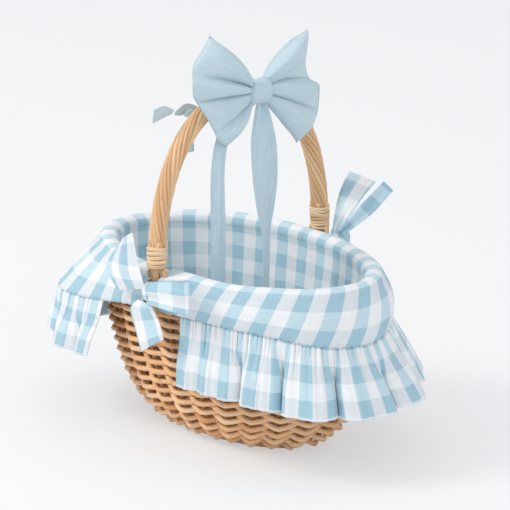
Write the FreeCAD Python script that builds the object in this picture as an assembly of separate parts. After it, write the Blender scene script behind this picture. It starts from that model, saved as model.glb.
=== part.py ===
import FreeCAD, Part
from FreeCAD import Vector as V
import math
import os

# Flower girl basket: an oval willow basket with a fixed arched handle, a loose cotton liner that
# folds over the rim in two halves, a gathered ruffle below it, and a ribbon bow on the handle.
# Millimetres. +Z is up, +X runs along the long axis, and the origin is the centre of the underside.

# ---- driving dimensions -------------------------------------------------------------------------

rim_half_length = 141.0         # middle of the woven wall at the rim, along X
rim_half_width = 85.0           # the same along Y
base_half_length = 76.0         # middle of the woven wall where it leaves the base, along X
base_half_width = 38.0
base_height = 8.0               # mid-plane of the woven base above the floor
rim_height = 152.0              # top of the woven wall
wall_roundness = 2.1            # power of the curve that the wall follows from base to rim

stake_count = 24
stake_radius = 1.9              # across flats, as for every rod below
stake_inner_inset = 2.0         # how far each stake reaches in over the foot ring
stake_steps = 9
stake_step_growth = 2.0         # above 1, steps are shorter near the base, where the wall turns most

strand_radius = 1.95            # weaving willow
row_pitch = 4.35                # from one woven row to the next, along the wall
first_row_distance = 7.0        # along the wall, from the base edge to the first row
weave_clearance = 0.5           # between a strand and the stake that it passes
rod_sides = 4

base_stick_radius = 1.5
base_stick_inset = 4.5          # from the base edge to the ends of the base sticks
long_stick_count = 3
long_stick_spacing = 14.0
cross_stick_count = 5
cross_stick_spacing = 15.0
base_strand_radius = 1.1
base_row_count = 2
base_row_spacing = 5.5
oblique_crossing = 2.0          # a slanting strand meets this much more of the stick

foot_ring_width = 8.0
foot_ring_overhang = 2.0        # how far the ring reaches out past the base edge

border_radius = 4.2             # plaited border on top of the wall
border_steps = 32
border_sides = 6
seat_gap = 0.25                 # between pieces that lie on each other

handle_height = 304.0           # middle of the handle at its crown
handle_half_span = 99.0         # middle of each leg at the rim
handle_spring_drop = 1.5        # from the crest of the folded cloth down to where the arch starts
handle_squareness = 2.25
handle_foot_depth = 26.0        # from the top of the wall down to the legs' lower ends, outside it
core_radius = 3.7
core_steps = 16
core_sides = 6
handle_strand_count = 8
handle_strand_radius = 2.0
handle_strand_turns = 2.6
handle_strand_steps = 22
handle_strand_sides = 5
binding_thickness = 1.2
binding_rise = 6.5              # from the crest of the cloth up to the bindings
binding_turn_pitch = 3.8
left_binding_turns = 5
right_binding_turns = 7
binding_sides = 8
foot_rod_count = 4
foot_rod_radius = 1.7
foot_rod_spread = 11.5          # how far the outer rods splay to each side

cloth_thickness = 1.5
cloth_clearance = 0.35
cuff_depth = 43.0               # from the crest of the folded liner down to the seam
cuff_slack = 1.2                # how far the folded cuff stands off the wall
front_cuff_flare = 3.0          # how far the seam stands further out at the end of the basket
back_cuff_flare = 26.0
back_cuff_rise = 24.0           # how far the back cuff's lower edge is drawn up to the tie
handle_slot_half_width = 15.0   # each half of the cuff stops this far short of the handle
ruffle_depth = 62.0
ruffle_side_flare = 18.0        # how far the lower edge stands out at the long sides
front_ruffle_end_flare = 36.0   # the same at the ends of the basket
back_ruffle_end_flare = 12.0
back_ruffle_start = 3.0         # bays from the tie to the start of the back ruffle
ruffle_pleat_depth = 5.0

bow_across = 8.0                # middle of the bow along the handle, from the crown
bow_knot_size = 18.0
bow_knot_height = 22.0
bow_loop_length = 74.0
bow_loop_height = 117.0
bow_loop_thickness = 16.0
bow_loop_gap = 0.4
# Each loop's sections: share of its length, lowest and highest share of its height, fullness.
left_loop_shape = ((0.0, -0.06, 0.07, 0.35), (0.52, -0.39, 0.44, 1.0),
                   (0.74, -0.13, 0.60, 0.9), (1.0, 0.20, 0.36, 0.35))
right_loop_shape = ((0.0, -0.07, 0.09, 0.35), (0.44, -0.43, 0.41, 1.0), (0.62, -0.38, 0.45, 0.9),
                    (0.73, -0.33, 0.05, 0.8), (0.83, -0.12, -0.04, 0.35))
tail_width = 22.0
tail_thickness = 1.0
left_tail_reach = 46.0          # how far the left tail hangs to the side of the knot
right_tail_reach = 8.0
left_tail_length = 168.0
right_tail_length = 180.0
tail_knee_drop = 72.0           # where each tail turns to hang straight down

ribbon_width = 11.0             # narrow ribbon that ties the bow to the handle
ribbon_thickness = 1.0
ribbon_across = -46.0           # middle of the narrow tie along the handle
ribbon_loop_length = 22.0
ribbon_loop_rise = 4.0
ribbon_tail_length = 24.0
ribbon_tail_sag = 2.0
ribbon_end_length = 30.0

tie_knot_size = 15.0
left_knot_drop = 16.5           # from the crest down to the middle of the knot
right_knot_side = 21.5
right_knot_drop = 6.5
tie_tail_shift = 8.0
tail_drop_gap = 0.95            # from a knot down to the tail that hangs from it
tie_width = 27.0
right_tie_width = 22.0
tie_thickness = 1.6
left_tie_loop_length = 46.0
left_tie_tail_length = 48.0
left_tie_upper_length = 44.0
left_tie_upper_rise = 30.0
left_tie_upper_width = 17.0
left_tie_loop_rise = 4.0
left_tie_loop_thickness = 8.0
right_tie_tail_length = 58.0

# ---- construction helpers -----------------------------------------------------------------------


def triangle(a, b, c):
    return Part.Face(Part.makePolygon([a, b, c, a]))


def closed_solid(faces):
    """Sews flat faces into one solid that points outward."""
    shell = Part.makeShell(faces)
    shell.sewShape()
    solid = Part.makeSolid(shell)
    if solid.Volume < 0:
        solid.reverse()
    return solid


def strip(first, second, closed):
    """Triangles between two rows of points."""
    faces = []
    count = len(first) if closed else len(first) - 1
    for i in range(count):
        j = (i + 1) % len(first)
        faces.append(triangle(first[i], first[j], second[j]))
        faces.append(triangle(first[i], second[j], second[i]))
    return faces


def section_skin(sections):
    """A solid through convex sections of equal length, with both ends capped."""
    faces = []
    for first, second in zip(sections, sections[1:]):
        faces.extend(strip(first, second, True))
    for loop in (sections[0], sections[-1]):
        for i in range(1, len(loop) - 1):
            faces.append(triangle(loop[0], loop[i], loop[i + 1]))
    return closed_solid(faces)


def sheet_solid(outer, inner):
    """A solid between two grids of points, rows by columns, that follow each other."""
    faces = []
    for grid in (outer, inner):
        for first, second in zip(grid, grid[1:]):
            faces.extend(strip(first, second, False))
    faces.extend(strip(outer[0], inner[0], False))
    faces.extend(strip(outer[-1], inner[-1], False))
    for edge in (0, -1):
        outer_edge = [row[edge] for row in outer]
        inner_edge = [row[edge] for row in inner]
        faces.extend(strip(outer_edge, inner_edge, False))
    return closed_solid(faces)


def rod(points, radius, sides, up, closed=False):
    """A rod of flat faces along straight runs; radius is across its flats."""
    start = (points[0] + points[1]) * 0.5 if closed else points[0]
    along = (points[1] - points[0]).normalize()
    side = along.cross(up).normalize()
    rise = side.cross(along)
    corner_radius = radius / math.cos(math.pi / sides)
    corners = []
    for k in range(sides + 1):
        turn = 2 * math.pi * (k + 0.5) / sides
        corners.append(start + side * (corner_radius * math.sin(turn))
                       + rise * (corner_radius * math.cos(turn)))
    run = [start] + points[1:] + [points[0], start] if closed else points
    return Part.makePolygon(run).makePipeShell([Part.makePolygon(corners)], True, False, 1)


def ribbon(points, width_direction, width, thickness):
    """A flat ribbon along points, its width laid along one direction."""
    sections = []
    last = len(points) - 1
    for i, point in enumerate(points):
        along = (points[min(i + 1, last)] - points[max(i - 1, 0)]).normalize()
        face = along.cross(width_direction).normalize() * (thickness / 2)
        half = width_direction * (width / 2)
        sections.append([point - half - face, point + half - face,
                         point + half + face, point - half + face])
    return section_skin(sections)


def save(name, solids):
    shape = solids[0] if len(solids) == 1 else Part.makeCompound(solids)
    shape.exportStep("parts/" + name + ".step")


# ---- the wall that everything follows -----------------------------------------------------------


def wall_growth(rise):
    """0 at the base and 1 at the rim, for a share of the wall's height."""
    return (1 - (1 - rise) ** wall_roundness) ** (1 / wall_roundness)


def half_axes(rise):
    growth = wall_growth(rise)
    return (base_half_length + (rim_half_length - base_half_length) * growth,
            base_half_width + (rim_half_width - base_half_width) * growth)


def even_angles(half_length, half_width, count):
    """Angles that space points evenly round an ellipse."""
    samples = 720
    travel = [0.0]
    for i in range(samples):
        angle = 2 * math.pi * (i + 0.5) / samples
        travel.append(travel[-1] + math.hypot(half_length * math.sin(angle), half_width * math.cos(angle)))
    angles = []
    place = 0
    for k in range(count):
        while travel[place + 1] <= travel[-1] * k / count:
            place += 1
        part_way = (travel[-1] * k / count - travel[place]) / (travel[place + 1] - travel[place])
        angles.append(2 * math.pi * (place + part_way) / samples)
    return angles


base_angles = even_angles(base_half_length, base_half_width, stake_count)
rim_angles = even_angles(rim_half_length, rim_half_width, stake_count)


def bay_angle(bay, rise):
    """Angle of a stake; a fraction of a bay lies between two stakes."""
    low = math.floor(bay)
    growth = wall_growth(rise)
    ends = []
    for step in (low, low + 1):
        turns, index = divmod(step, stake_count)
        blended = base_angles[index] * (1 - growth) + rim_angles[index] * growth
        ends.append(blended + 2 * math.pi * turns)
    return ends[0] + (ends[1] - ends[0]) * (bay - low)


def wall_middle(bay, rise):
    half_length, half_width = half_axes(rise)
    angle = bay_angle(bay, rise)
    height = base_height + (rim_height - base_height) * rise
    return V(half_length * math.cos(angle), half_width * math.sin(angle), height)


def wall_frame(bay, rise):
    """Directions at a place on the wall: up along it, and outward from it."""
    low = max(rise - 0.004, 0.0)
    high = min(rise + 0.004, 1.0)
    upward = (wall_middle(bay, high) - wall_middle(bay, low)).normalize()
    around = (wall_middle(bay + 0.1, rise) - wall_middle(bay - 0.1, rise)).normalize()
    outward = around.cross(upward).normalize()
    return upward, outward


def wall_point(bay, rise, offset):
    return wall_middle(bay, rise) + wall_frame(bay, rise)[1] * offset


def crossing_offset(spacing, rod_radius, post_radius, post_width):
    """How far a rod's middle stands off the middle of the post that it bends round."""
    offset = rod_radius + post_radius
    for _ in range(12):
        slant = math.atan2(2 * offset, spacing)
        offset = (post_radius + weave_clearance + rod_radius / math.cos(slant)) / (1 - post_width / spacing)
    return offset


def passing_offset(rise):
    """How far a strand stands off the wall's middle where it passes a stake."""
    spacing = (wall_middle(1, rise) - wall_middle(0, rise)).Length
    return crossing_offset(spacing, strand_radius, stake_radius, 2 * stake_radius)


def weave_depth(rise):
    """From the wall's middle to the outermost face of the weave."""
    return passing_offset(rise) + strand_radius * 1.08


def wall_profile():
    """Distances up the wall on its short side from the base edge, each with its rise."""
    samples = 2000
    travel = 0.0
    profile = [(0.0, 0.0)]
    here = V(0, base_half_width, 0)
    for i in range(1, samples + 1):
        rise = (i / samples) ** 2
        there = V(0, half_axes(rise)[1], (rim_height - base_height) * rise)
        travel += (there - here).Length
        here = there
        profile.append((travel, rise))
    return profile


def woven_row_rises():
    """An even number of rows that fill the wall from the base edge to the border."""
    profile = wall_profile()
    start = first_row_distance
    end = profile[-1][0] - strand_radius - seat_gap
    count = 2 * math.floor(((end - start) / row_pitch + 1) / 2)
    wanted = [start + (end - start) * i / (count - 1) for i in range(count)]
    rises = []
    for travel, rise in profile:
        if len(rises) < count and travel >= wanted[len(rises)]:
            rises.append(rise)
    return rises


# ---- willow -------------------------------------------------------------------------------------


def make_side_stakes():
    top = 1 - seat_gap / (rim_height - base_height)
    rises = [top * (step / stake_steps) ** stake_step_growth for step in range(stake_steps + 1)]
    stakes = []
    for bay in range(stake_count):
        foot = wall_middle(bay, 0)
        inward = V(-foot.x, -foot.y, 0).normalize() * stake_inner_inset
        places = [(foot + inward, 0.0)] + [(wall_middle(bay, rise), rise) for rise in rises]
        sections = []
        for place, rise in places:
            upward, outward = wall_frame(bay, rise)
            side = upward.cross(outward) * stake_radius
            face = outward * stake_radius
            inner = place - face
            outer = place + face
            sections.append([inner - side, inner + side, outer + side, outer - side])
        stakes.append(section_skin(sections))
    save("side_stakes", stakes)


def woven_strand(rise, phase):
    """One strand round the basket: outside one stake, inside the next."""
    offset = passing_offset(rise)
    points = [wall_point(bay, rise, offset if (bay + phase) % 2 else -offset) for bay in range(stake_count)]
    upward = wall_frame(0.5, rise)[0]
    return rod(points, strand_radius, rod_sides, upward, closed=True)


def make_weave():
    rises = woven_row_rises()
    for pair in range(len(rises) // 2):
        strands = [woven_strand(rises[2 * pair + i], i) for i in range(2)]
        save("weave_row_%02d" % (pair + 1), strands)


def stick_reach(across, half_length, half_width):
    """Half length of a base stick that stands this far off the middle of an oval."""
    return half_length * math.sqrt(1 - (across / half_width) ** 2)


def stick_places(count, spacing):
    return [spacing * (i - (count - 1) / 2) for i in range(count)]


def base_stick_end():
    """Half axes of the oval where the base sticks end, on the foot ring."""
    return base_half_length - base_stick_inset, base_half_width - base_stick_inset


def foot_ring_top():
    return base_height - stake_radius - seat_gap


def base_stick_height():
    return foot_ring_top() + seat_gap + base_stick_radius


def make_base_sticks():
    end_length, end_width = base_stick_end()
    height = base_stick_height()
    sticks = []
    for y in stick_places(long_stick_count, long_stick_spacing):
        reach = stick_reach(y, end_length, end_width)
        sticks.append(rod([V(-reach, y, height), V(reach, y, height)],
                          base_stick_radius, rod_sides, V(0, 0, 1)))
    for x in stick_places(cross_stick_count, cross_stick_spacing):
        reach = stick_reach(x, end_width, end_length)
        sticks.append(rod([V(x, -reach, height), V(x, reach, height)],
                          base_stick_radius, rod_sides, V(0, 0, 1)))
    save("base_sticks", [sticks[0].multiFuse(sticks[1:]).removeSplitter()])


def make_base_weave():
    end_length, end_width = base_stick_end()
    offset = crossing_offset(long_stick_spacing, base_strand_radius, base_stick_radius,
                             2 * base_stick_radius * oblique_crossing)
    rings = []
    for row in range(base_row_count):
        inset = base_strand_radius + base_row_spacing * (row + 0.5)
        half_length = end_length - inset
        half_width = end_width - inset
        places = []
        for y in stick_places(long_stick_count, long_stick_spacing):
            x = stick_reach(y, half_length, half_width)
            places.extend([V(x, y, 0), V(-x, y, 0)])
        for x in stick_places(cross_stick_count, cross_stick_spacing):
            y = stick_reach(x, half_width, half_length)
            places.extend([V(x, y, 0), V(x, -y, 0)])
        places.sort(key=lambda p: math.atan2(p.y / half_width, p.x / half_length))
        points = []
        for i, place in enumerate(places):
            level = offset if (i + row) % 2 else -offset
            points.append(place + V(0, 0, base_stick_height() + level))
        rings.append(rod(points, base_strand_radius, rod_sides, V(0, 0, 1), closed=True))
    save("base_weave", rings)


def oval_ring(half_length, half_width, count):
    angles = even_angles(half_length, half_width, count)
    return [V(half_length * math.cos(a), half_width * math.sin(a), 0) for a in angles]


def make_foot_ring():
    """A flat ring under the base that the basket stands on."""
    half_length = base_half_length + foot_ring_overhang
    half_width = base_half_width + foot_ring_overhang
    outer = oval_ring(half_length, half_width, stake_count)
    inner = oval_ring(half_length - foot_ring_width, half_width - foot_ring_width, stake_count)
    plate = Part.Face(Part.makePolygon(outer + outer[:1]))
    hole = Part.Face(Part.makePolygon(inner + inner[:1]))
    save("foot_ring", [plate.cut(hole).extrude(V(0, 0, foot_ring_top()))])


def make_rim_border():
    """The border's turned-down rods, as one ring on top of the stakes."""
    angles = even_angles(rim_half_length, rim_half_width, border_steps)
    points = []
    for angle in angles:
        points.append(V(rim_half_length * math.cos(angle), rim_half_width * math.sin(angle),
                        rim_height + border_radius))
    save("rim_border", [rod(points, border_radius, border_sides, V(0, 0, 1), closed=True)])


# ---- handle -------------------------------------------------------------------------------------


def crest_height():
    """Underside of the cloth where it folds over the border."""
    return rim_height + 2 * border_radius / math.cos(math.pi / border_sides) + cloth_clearance


def handle_spring_height():
    return crest_height() - handle_spring_drop


def handle_foot_height():
    return rim_height - handle_foot_depth


def binding_start_height():
    return crest_height() + binding_rise


def outer_wall_at(height):
    """How far out the weave reaches at the middle of the long sides."""
    rise = (height - base_height) / (rim_height - base_height)
    rise = min(rise, 1.0)
    return half_axes(rise)[1] + weave_depth(rise)


def handle_middle(turn):
    """Middle of the arch in the YZ plane, for 0 to pi from the -Y leg to the +Y leg."""
    power = 2 / handle_squareness
    across = -math.copysign(abs(math.cos(turn)) ** power, math.cos(turn))
    rise = abs(math.sin(turn)) ** power
    return V(0, handle_half_span * across,
             handle_spring_height() + (handle_height - handle_spring_height()) * rise)


def handle_route(steps):
    return [handle_middle(math.pi * i / steps) for i in range(steps + 1)]


def leg_foot():
    reach = core_radius / math.cos(math.pi / core_sides)
    return V(0, outer_wall_at(handle_foot_height()) + seat_gap + reach, handle_foot_height())


def make_handle_core():
    foot = leg_foot()
    mirrored = V(foot.x, -foot.y, foot.z)
    points = [mirrored] + handle_route(core_steps) + [foot]
    save("handle_core", [rod(points, core_radius, core_sides, V(1, 0, 0))])


def handle_at_height(height):
    """Turn of the -Y leg where the handle's middle passes a height."""
    low = 0.0
    high = math.pi / 2
    for _ in range(40):
        middle = (low + high) / 2
        if handle_middle(middle).z < height:
            low = middle
        else:
            high = middle
    return low


def even_handle_turns(start, end, steps):
    """Turns from start to end that lie evenly along the handle."""
    samples = 400
    turns = [start + (end - start) * i / samples for i in range(samples + 1)]
    travel = [0.0]
    for first, second in zip(turns, turns[1:]):
        travel.append(travel[-1] + (handle_middle(second) - handle_middle(first)).Length)
    found = []
    place = 0
    for k in range(steps + 1):
        while place < samples - 1 and travel[place + 1] < travel[-1] * k / steps:
            place += 1
        found.append(turns[place] + (turns[place + 1] - turns[place])
                     * (travel[-1] * k / steps - travel[place]) / (travel[place + 1] - travel[place]))
    return found


def handle_frame(turn):
    step = 0.01
    along = (handle_middle(min(turn + step, math.pi)) - handle_middle(max(turn - step, 0))).normalize()
    side = V(1, 0, 0)
    return along, side, along.cross(side)


def strand_ring_radius():
    return (core_radius / math.cos(math.pi / core_sides) + seat_gap
            + handle_strand_radius / math.cos(math.pi / handle_strand_sides))


def make_handle_strands():
    """Rods twisted round the core from one binding to the other."""
    start = handle_at_height(binding_start_height())
    turns = even_handle_turns(start, math.pi - start, handle_strand_steps)
    radius = strand_ring_radius()
    strands = []
    for k in range(handle_strand_count):
        points = []
        for i, turn in enumerate(turns):
            along, side, out = handle_frame(turn)
            spin = 2 * math.pi * (k / handle_strand_count - handle_strand_turns * i / handle_strand_steps)
            around = side * math.cos(spin) + out * math.sin(spin)
            points.append(handle_middle(turn) + around * radius)
        strands.append(rod(points, handle_strand_radius, handle_strand_sides, V(1, 0, 0)))
    save("handle_strands", strands)


def make_binding(name, turns, mirror):
    """Flat cane wound round the foot of the handle, one ring for each turn."""
    inner = strand_ring_radius() + handle_strand_radius / math.cos(math.pi / handle_strand_sides) + seat_gap
    rings = []
    for k in range(turns):
        low = binding_start_height() + binding_turn_pitch * k
        height = binding_turn_pitch - seat_gap
        place = handle_middle(handle_at_height(low + height / 2))
        centre = V(0, place.y if mirror else -place.y, low)
        solid = None
        for radius in (inner + binding_thickness, inner):
            corners = []
            for i in range(binding_sides + 1):
                angle = 2 * math.pi * (i + 0.5) / binding_sides
                reach = radius / math.cos(math.pi / binding_sides)
                corners.append(centre + V(reach * math.cos(angle), reach * math.sin(angle), 0))
            prism = Part.Face(Part.makePolygon(corners)).extrude(V(0, 0, height))
            solid = prism if solid is None else solid.cut(prism)
        rings.append(solid)
    save(name, rings)


def make_foot_rods(name, sign):
    """Rods that leave the binding, splay over the border and run down the outside of the weave."""
    top = binding_start_height() - seat_gap - foot_rod_radius / 2
    low = handle_foot_height()
    inner_lane = core_radius + foot_rod_radius + 2 * seat_gap
    lane_step = 2 * foot_rod_radius + seat_gap
    rods = []
    for k in range(foot_rod_count):
        side = -1 if k % 2 else 1
        pair = k // 2
        start = V(side * (inner_lane + lane_step * pair), sign * handle_half_span, top)
        spread = foot_rod_spread - (foot_rod_count // 2 - 1 - pair) * lane_step
        out = outer_wall_at(low) + seat_gap + foot_rod_radius
        end = V(side * spread, sign * out, low)
        rods.append(rod([start, end], foot_rod_radius, rod_sides, V(1, 0, 0)))
    save(name, rods)


# ---- liner, cuff and ruffle ---------------------------------------------------------------------


def make_liner():
    """The bowl of cloth inside the basket, one closed sheet with an open mouth."""
    rises = [0.0, 0.03, 0.12, 0.3, 0.55, 0.8, 1.0]
    rings = []
    for extra in (0.0, cloth_thickness):
        grid = []
        for rise in rises:
            offset = -(weave_depth(rise) + cloth_clearance + extra)
            grid.append([wall_point(bay, rise, offset) for bay in range(stake_count)])
        lift = crest_height() - cloth_clearance - rim_height
        grid.append([point + V(0, 0, lift) for point in grid[-1]])
        rings.append(grid)
    faces = []
    for grid in rings:
        level = grid[0][0].z
        grid[0] = [V(point.x, point.y, level) for point in grid[0]]
        for first, second in zip(grid, grid[1:]):
            faces.extend(strip(first, second, True))
        faces.append(Part.Face(Part.makePolygon(grid[0] + grid[0][:1])))
    faces.extend(strip(rings[0][-1], rings[1][-1], True))
    save("liner_bowl", [closed_solid(faces)])


def slot_bays():
    """Half of the handle's slot in the cuff, in bays."""
    quarter = stake_count // 4
    return handle_slot_half_width / (wall_middle(quarter + 0.5, 1) - wall_middle(quarter - 0.5, 1)).Length


def end_bays(middle, before, after):
    """Bays round one end of the basket, from before its middle to after it."""
    bays = [middle - before]
    bays.extend(bay for bay in range(math.floor(middle - before) + 1, math.ceil(middle + after)))
    bays.append(middle + after)
    return bays


def cuff_outer_offset(rise):
    return weave_depth(rise) + cloth_clearance + cuff_slack


def seam_rise(drawn_up):
    return (crest_height() - cuff_depth + drawn_up - base_height) / (rim_height - base_height)


def flare_direction(bay):
    outward = wall_frame(bay, 1)[1]
    return V(outward.x, outward.y, 0).normalize()


def end_share(bay):
    """1 at the ends of the basket and 0 beside the handle."""
    return math.cos(bay_angle(bay, 1)) ** 2


def cuff_point(bay, share, extra, flare, drawn_up):
    """A place on the hanging cuff, for a share of the way from the crest to the seam."""
    rise = 1 + (seam_rise(drawn_up) - 1) * share
    point = wall_point(bay, rise, cuff_outer_offset(rise) + extra)
    return point + flare_direction(bay) * (flare * share * end_share(bay))


def make_cuff(name, bays, flare, drawn_up):
    """Cloth folded over the border and down to the seam, round one end of the basket."""
    top = crest_height()
    layers = []
    for extra in (0.0, cloth_thickness):
        crest = V(0, 0, top + extra - rim_height)
        inner_offset = -(weave_depth(1) + cloth_clearance)
        grid = [[wall_point(bay, 1, inner_offset) + crest for bay in bays]]
        grid.append([wall_point(bay, 1, cuff_outer_offset(1) + extra) + crest for bay in bays])
        for share in (0.0, 0.5, 1.0):
            grid.append([cuff_point(bay, share, extra, flare, lift) for bay, lift in zip(bays, drawn_up)])
        layers.append(grid)
    save(name, [sheet_solid(layers[1], layers[0])])


def make_ruffle(name, bays, cuff_flare, end_flare):
    """Gathered cloth below the seam, its pleats deepening to the lower edge."""
    steps = []
    for first, second in zip(bays, bays[1:]):
        steps.extend([first, (first + second) / 2])
    steps.append(bays[-1])
    below_seam = V(0, 0, -cloth_clearance)
    layers = []
    for extra in (0.0, cloth_thickness):
        grid = []
        for share in (0.0, 0.5, 1.0):
            row = []
            for i, bay in enumerate(steps):
                flare = ruffle_side_flare + (end_flare - ruffle_side_flare) * end_share(bay)
                drop = math.sqrt(ruffle_depth ** 2 - flare ** 2)
                pleat = ruffle_pleat_depth * share * (i % 2)
                seam = cuff_point(bay, 1, extra, cuff_flare, 0) + below_seam
                row.append(seam + flare_direction(bay) * (flare * share + pleat) - V(0, 0, drop * share))
            grid.append(row)
        layers.append(grid)
    save(name, [sheet_solid(layers[1], layers[0])])


def make_front_cloth():
    reach = stake_count / 4 - slot_bays()
    bays = end_bays(0, reach, reach)
    make_cuff("cuff_front", bays, front_cuff_flare, [0.0] * len(bays))
    make_ruffle("ruffle_front", bays, front_cuff_flare, front_ruffle_end_flare)


def make_back_cloth():
    """The back half is drawn up to the tie at the -Y side, and its ruffle starts further round."""
    middle = stake_count / 2
    reach = stake_count / 4 - slot_bays()
    bays = end_bays(middle, reach, reach)
    ruffle_end = middle + stake_count / 4 - back_ruffle_start
    drawn_up = []
    for bay in bays:
        share = max(0.0, (bay - ruffle_end) / (bays[-1] - ruffle_end))
        drawn_up.append(back_cuff_rise * share)
    make_cuff("cuff_back", bays, back_cuff_flare, drawn_up)
    ruffle_bays = end_bays(middle, reach, stake_count / 4 - back_ruffle_start)
    make_ruffle("ruffle_back", ruffle_bays, back_cuff_flare, back_ruffle_end_flare)


# ---- bow ----------------------------------------------------------------------------------------


def handle_outer_radius():
    return strand_ring_radius() + handle_strand_radius / math.cos(math.pi / handle_strand_sides)


def handle_across(across):
    """Turn where the handle's middle lies this far along Y."""
    low = 0.0
    high = math.pi
    for _ in range(50):
        middle = (low + high) / 2
        if handle_middle(middle).y < across:
            low = middle
        else:
            high = middle
    return low


def bow_centre():
    middle = handle_middle(handle_across(bow_across))
    front = handle_outer_radius() + ribbon_thickness + 2 * seat_gap + bow_knot_size / 2
    return V(front, bow_across, middle.z)


def make_bow_knot():
    centre = bow_centre()
    half = bow_knot_size / 2
    corners = []
    for x, z in ((-1, -0.6), (-0.6, -1), (0.6, -1), (1, -0.6), (1, 0.6), (0.6, 1), (-0.6, 1), (-1, 0.6)):
        corners.append(centre + V(x * half, -half, z * bow_knot_height / 2))
    knot = Part.Face(Part.makePolygon(corners + corners[:1])).extrude(V(0, bow_knot_size, 0))
    save("bow_knot", [knot])


def make_bow_loop(name, sign, shape):
    """One loop, narrow at the knot, that opens to an upper and a lower corner."""
    centre = bow_centre()
    sections = []
    for reach, low, high, swell in shape:
        y = sign * (bow_knot_size / 2 + bow_loop_gap + bow_loop_length * reach)
        middle = centre + V(0, y, bow_loop_height * (low + high) / 2)
        half = bow_loop_height * (high - low) / 2
        thick = bow_loop_thickness * swell / 2
        loop = []
        for x, z in ((-1, -0.7), (0, -1), (1, -0.7), (1, 0.7), (0, 1), (-1, 0.7)):
            loop.append(middle + V(x * thick, 0, z * half))
        sections.append(loop)
    save(name, [section_skin(sections)])


def tail_points(reach, length):
    """Middle of a tail, from under the knot to its end."""
    centre = bow_centre()
    top = centre - V(0, 0, bow_knot_height / 2 + tail_drop_gap)
    knee = top + V(0, reach, -tail_knee_drop)
    end = knee - V(0, 0, length - tail_knee_drop)
    return [top, knee, end]


def make_bow_tail(name, start_across, reach, length):
    """A hanging tail; its width lies along Y all the way down."""
    points = tail_points(reach, length)
    points[0] = points[0] + V(0, start_across, 0)
    sections = []
    widths = (bow_knot_size * 0.4, tail_width, tail_width)
    for point, width in zip(points, widths):
        loop = []
        for x, y in ((-1, -1), (1, -1), (1, 1), (-1, 1)):
            loop.append(point + V(x * tail_thickness / 2, y * width / 2, 0))
        sections.append(loop)
    save(name, [section_skin(sections)])


# ---- narrow ribbon that ties the bow on ---------------------------------------------------------


def make_ribbon_band():
    """Ribbon wound round the handle behind the bow."""
    turn = handle_across(bow_across)
    centre = handle_middle(turn)
    inner = handle_outer_radius() + seat_gap
    solid = None
    for radius in (inner + ribbon_thickness, inner):
        corners = []
        for i in range(binding_sides + 1):
            angle = 2 * math.pi * (i + 0.5) / binding_sides
            reach = radius / math.cos(math.pi / binding_sides)
            corners.append(centre + V(reach * math.cos(angle), 0, reach * math.sin(angle)))
        prism = Part.Face(Part.makePolygon(corners))
        prism = prism.extrude(V(0, ribbon_width, 0))
        prism.translate(V(0, -ribbon_width / 2, 0))
        solid = prism if solid is None else solid.cut(prism)
    save("ribbon_band", [solid])


def make_ribbon_tie():
    """The narrow tie's knot, loop and ends, at the back of the handle."""
    turn = handle_across(ribbon_across)
    centre = handle_middle(turn)
    back = handle_outer_radius() + seat_gap + ribbon_width / 2
    knot_centre = centre + V(-back, 0, 0)
    half = ribbon_width / 2
    knot = Part.makeBox(ribbon_width, ribbon_width, ribbon_width, knot_centre - V(half, half, half))
    save("ribbon_knot", [knot])
    left = knot_centre + V(0, -half - seat_gap, 0)
    loop_middle = left + V(0, -ribbon_loop_length / 2, ribbon_loop_rise)
    loop_end = left + V(0, -ribbon_loop_length, 0)
    loop = [left, loop_middle, loop_end]
    save("ribbon_loop", [ribbon(loop, V(0, 0, 1), ribbon_width, 3 * ribbon_thickness)])
    tail_start = loop_end + V(0, -seat_gap, 0)
    tail_end = tail_start + V(0, -ribbon_tail_length, -ribbon_tail_sag)
    save("ribbon_tail_left", [ribbon([tail_start, tail_end], V(0, 0, 1), ribbon_width, ribbon_thickness)])
    under = knot_centre - V(0, 0, half + seat_gap)
    save("ribbon_tail_right", [ribbon([under, under - V(0, 0, ribbon_end_length)], V(0, 1, 0),
                                      ribbon_width, ribbon_thickness)])


# ---- cloth ties beside the handle ---------------------------------------------------------------


def left_tie_place():
    """Middle of the left knot, outside the handle's foot and below the crest."""
    foot = leg_foot()
    middle = crest_height() - left_knot_drop
    share = (middle + tie_knot_size / 2 - foot.z) / (handle_spring_height() - foot.z)
    leg = foot.y + (handle_half_span - foot.y) * share
    reach = core_radius / math.cos(math.pi / core_sides) + seat_gap + tie_knot_size / 2
    return V(0, -(leg + reach), middle)


def right_tie_place():
    """Middle of the right knot, on the cuff beside the handle's foot."""
    out = wall_middle(stake_count / 4, 1).y + cuff_outer_offset(1) + cloth_thickness
    return V(right_knot_side, out + seat_gap + tie_knot_size / 2, crest_height() - right_knot_drop)


def make_tie_knot(name, place):
    half = tie_knot_size / 2
    save(name, [Part.makeBox(tie_knot_size, tie_knot_size, tie_knot_size, place - V(half, half, half))])


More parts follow.
